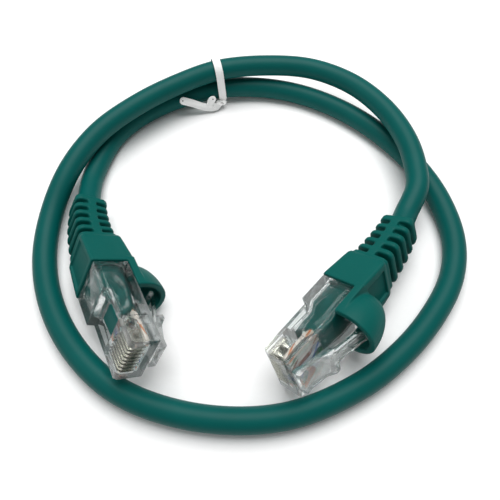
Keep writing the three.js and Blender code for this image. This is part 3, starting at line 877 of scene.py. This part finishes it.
# The two free tails: points of each path, and where the strip's width is turned to at each.
LONG_TAIL = [((-7.6, 48.9, 2.4), (0.96, 0.26, 0)), ((-8.4, 47.6, 1.6), (0.7, 0.3, 0.6)),
             ((-10.3, 46.5, 1.6), (0.2, 0.3, 1)), ((-13.4, 46, 2.5), (0, 0.4, 1)),
             ((-16.5, 45.6, 4.2), (0, 0.5, 1)), ((-19.6, 44.9, 6), (0, 0.6, 1))]
SHORT_TAIL = [((-10.9, 46.5, 1.9), (0.9, 0.3, 0.3)), ((-11.2, 46.5, 3.6), (0.95, 0.2, 0.2)),
              ((-10.1, 46.8, 5.5), (0.9, 0.1, -0.3))]
KNOT = ((-7.9, 48.4, 2.1), (-11, 46.4, 2))
KNOT_TURNS = 1.1
KNOT_STEPS = 24
TIE_WIRE_RADIUS = 0.2
TIE_WIRE_HALF = 0.34
TIE_WIRE_SETBACK = 0.75


def strip(stations, width, thickness):
    """A flat strip with a raised middle over its wire, through frames of centre, width
    direction, thickness direction and share of the width."""
    quarter = [(1, 0.25), (0.9, 0.45), (0.45, 0.5), (0.2, 0.95)]
    upper = quarter + [(-a, b) for a, b in reversed(quarter)]
    section = upper + [(-a, -b) for a, b in upper]
    return [[at + wide * (a * share * width / 2) + thick * (b * thickness / 2) for a, b in section]
            for at, wide, thick, share in stations]


def swept_strip(tail, width):
    """Frames along a tail's smooth path, the last of them narrowed to a round end."""
    path = catmull_rom([Vector(point) - ORIGIN for point, _ in tail], 8)
    turned = catmull_rom([Vector(wide) for _, wide in tail], 8)
    end = width / 2
    frames = []
    for i, at in enumerate(path):
        ahead = heading_at(path, i)
        wide = (turned[i] - ahead * turned[i].dot(ahead)).normalized()
        if (path[-1] - at).length > end:
            frames.append((at, wide, ahead.cross(wide), 1))
    for share in (0, 0.3, 0.55, 0.75, 0.9, 0.97):
        frames.append((path[-1] - ahead * end * (1 - share), wide, ahead.cross(wide),
                       math.sqrt(1 - share ** 2)))
    return frames


def tie_loop(cable_radius):
    """Frames once round both strands."""
    low, high = TIE_LOW - ORIGIN, TIE_HIGH - ORIGIN
    wide = TIE_ALONG.normalized()
    up = (high - low).normalized()
    out = up.cross(wide).normalized()
    radius = cable_radius + TIE_CLEARANCE + TIE_THICKNESS / 2
    frames = []
    for end in (1, -1):
        for i in range(15):
            t = i / 14 * math.pi
            thick = out * (end * math.cos(t)) + up * (end * math.sin(t))
            middle = (low + high) / 2 + up * (end * (high - low).length / 2)
            frames.append((middle + thick * radius, wide, thick, 1))
    return frames


def tie_knot():
    """Frames along the twist, turned a little more than once round."""
    start, end = (Vector(p) - ORIGIN for p in KNOT)
    along = (end - start).normalized()
    frames = []
    for i in range(KNOT_STEPS + 1):
        turn = Quaternion(along, i / KNOT_STEPS * KNOT_TURNS * 2 * math.pi)
        side = turn @ along.cross(Vector((0, 0, 1))).normalized()
        frames.append((start.lerp(end, i / KNOT_STEPS), side, along.cross(side), 0.85))
    return frames


class PATCH_OT_tie(Operator):
    """Wraps the white twist tie round the two strands"""
    bl_idname = "patch_cable.tie"
    bl_label = "Twist tie"

    def execute(self, context):
        sizes, _ = settings(context)
        width = sizes.tie_width / MM
        loop = strip(tie_loop(sizes.cable_diameter / MM / 2), width, TIE_THICKNESS)
        tie = new_object("tie_strip", loft(loop, closed=True))
        for tail in (LONG_TAIL, SHORT_TAIL):
            combined(tie, "UNION", loft(strip(swept_strip(tail, width), width, TIE_THICKNESS)))
        combined(tie, "UNION", loft(strip(tie_knot(), width, TIE_THICKNESS * 1.1)))
        placed(tie, tie_plastic(), "cable_assembly", ["twist_tie"], smooth_angle=40)
        steel = steel_wire()
        for name, tail in (("long", LONG_TAIL), ("short", SHORT_TAIL)):
            frames = swept_strip(tail, width)
            tip, _, thick, _ = frames[-1]
            at = tip - (tip - frames[-3][0]).normalized() * TIE_WIRE_SETBACK
            rings, _ = tube([at - thick * TIE_WIRE_HALF, at + thick * TIE_WIRE_HALF], TIE_WIRE_RADIUS, 12)
            wire = new_object(f"tie_wire_{name}", loft(rings))
            placed(wire, steel, "cable_assembly", smooth_angle=40)
        return {"FINISHED"}


# ---- stage ----
CAMERA_AT = (0.00272, -0.07081, 0.106)
CAMERA_AIM = Vector((0.00272, -0.00961, 0))
FLOOR_HALF = 900
FLOOR_LEVEL = -0.02
LAMPS = [("overhead", (0.02, 0.14, 0.45), 2.6), ("left", (-0.5, -0.1, 0.35), 0.4)]  # place and watts
LAMP_SIZE = 0.4


class PATCH_OT_stage(Operator):
    """Sets the camera, the pale floor and the soft studio light"""
    bl_idname = "patch_cable.stage"
    bl_label = "Stage"

    def execute(self, context):
        scene = context.scene
        lens = bpy.data.cameras.new("camera")
        lens.sensor_width, lens.lens = 36, 36
        lens.clip_start, lens.clip_end = 0.01, 10
        camera = bpy.data.objects.new("camera", lens)
        scene.collection.objects.link(camera)
        camera.location = CAMERA_AT
        camera.rotation_euler = (CAMERA_AIM - camera.location).to_track_quat("-Z", "Y").to_euler()
        scene.camera = camera
        scene.view_settings.view_transform = "Standard"
        corners = [(x * FLOOR_HALF, y * FLOOR_HALF, FLOOR_LEVEL)
                   for x, y in ((-1, -1), (1, -1), (1, 1), (-1, 1))]
        floor = new_object("floor", (corners, [(0, 1, 2, 3)]))
        floor.data.transform(Matrix.Scale(MM, 4))
        floor.data.materials.append(matt_paper())
        world = bpy.data.worlds.new("studio")
        scene.world = world
        world.use_nodes = True
        background = world.node_tree.nodes["Background"]
        background.inputs["Color"].default_value = (1, 1, 1, 1)
        background.inputs["Strength"].default_value = 0.28
        for name, at, power in LAMPS:
            lamp = bpy.data.lights.new(name, "AREA")
            lamp.shape, lamp.size, lamp.energy = "SQUARE", LAMP_SIZE, power
            light = bpy.data.objects.new(name, lamp)
            light.location = at
            light.rotation_euler = (-Vector(at)).to_track_quat("-Z", "Y").to_euler()
            scene.collection.objects.link(light)
        return {"FINISHED"}


STEPS = (PATCH_OT_stage, PATCH_OT_boots, PATCH_OT_cable, PATCH_OT_plug_bodies, PATCH_OT_latches,
         PATCH_OT_contacts, PATCH_OT_wires, PATCH_OT_jacket_ends, PATCH_OT_tie)


class PATCH_PT_panel(Panel):
    """Lists the steps that build the patch cable"""
    bl_label = "Patch cable"
    bl_idname = "PATCH_PT_panel"
    bl_space_type = "VIEW_3D"
    bl_region_type = "UI"
    bl_category = "Patch cable"

    def draw(self, context):
        for group in settings(context):
            for key in group.bl_rna.properties.keys():
                if key not in ("rna_type", "name"):
                    self.layout.prop(group, key)
        for step in STEPS:
            self.layout.operator(step.bl_idname)


CLASSES = (PatchCableSettings, PatchCableColours, *STEPS, PATCH_PT_panel)


def register():
    for item in CLASSES:
        bpy.utils.register_class(item)
    bpy.types.Scene.patch_cable = PointerProperty(type=PatchCableSettings)
    bpy.types.Scene.patch_cable_colours = PointerProperty(type=PatchCableColours)


def unregister():
    del bpy.types.Scene.patch_cable_colours
    del bpy.types.Scene.patch_cable
    for item in reversed(CLASSES):
        bpy.utils.unregister_class(item)


def main():
    register()
    bpy.ops.patch_cable.stage()
    bpy.ops.patch_cable.boots()
    bpy.ops.patch_cable.cable()
    bpy.ops.patch_cable.plug_bodies()
    bpy.ops.patch_cable.latches()
    bpy.ops.patch_cable.contacts()
    bpy.ops.patch_cable.wires()
    bpy.ops.patch_cable.jacket_ends()
    bpy.ops.patch_cable.tie()


if __name__ == "__main__":
    main()
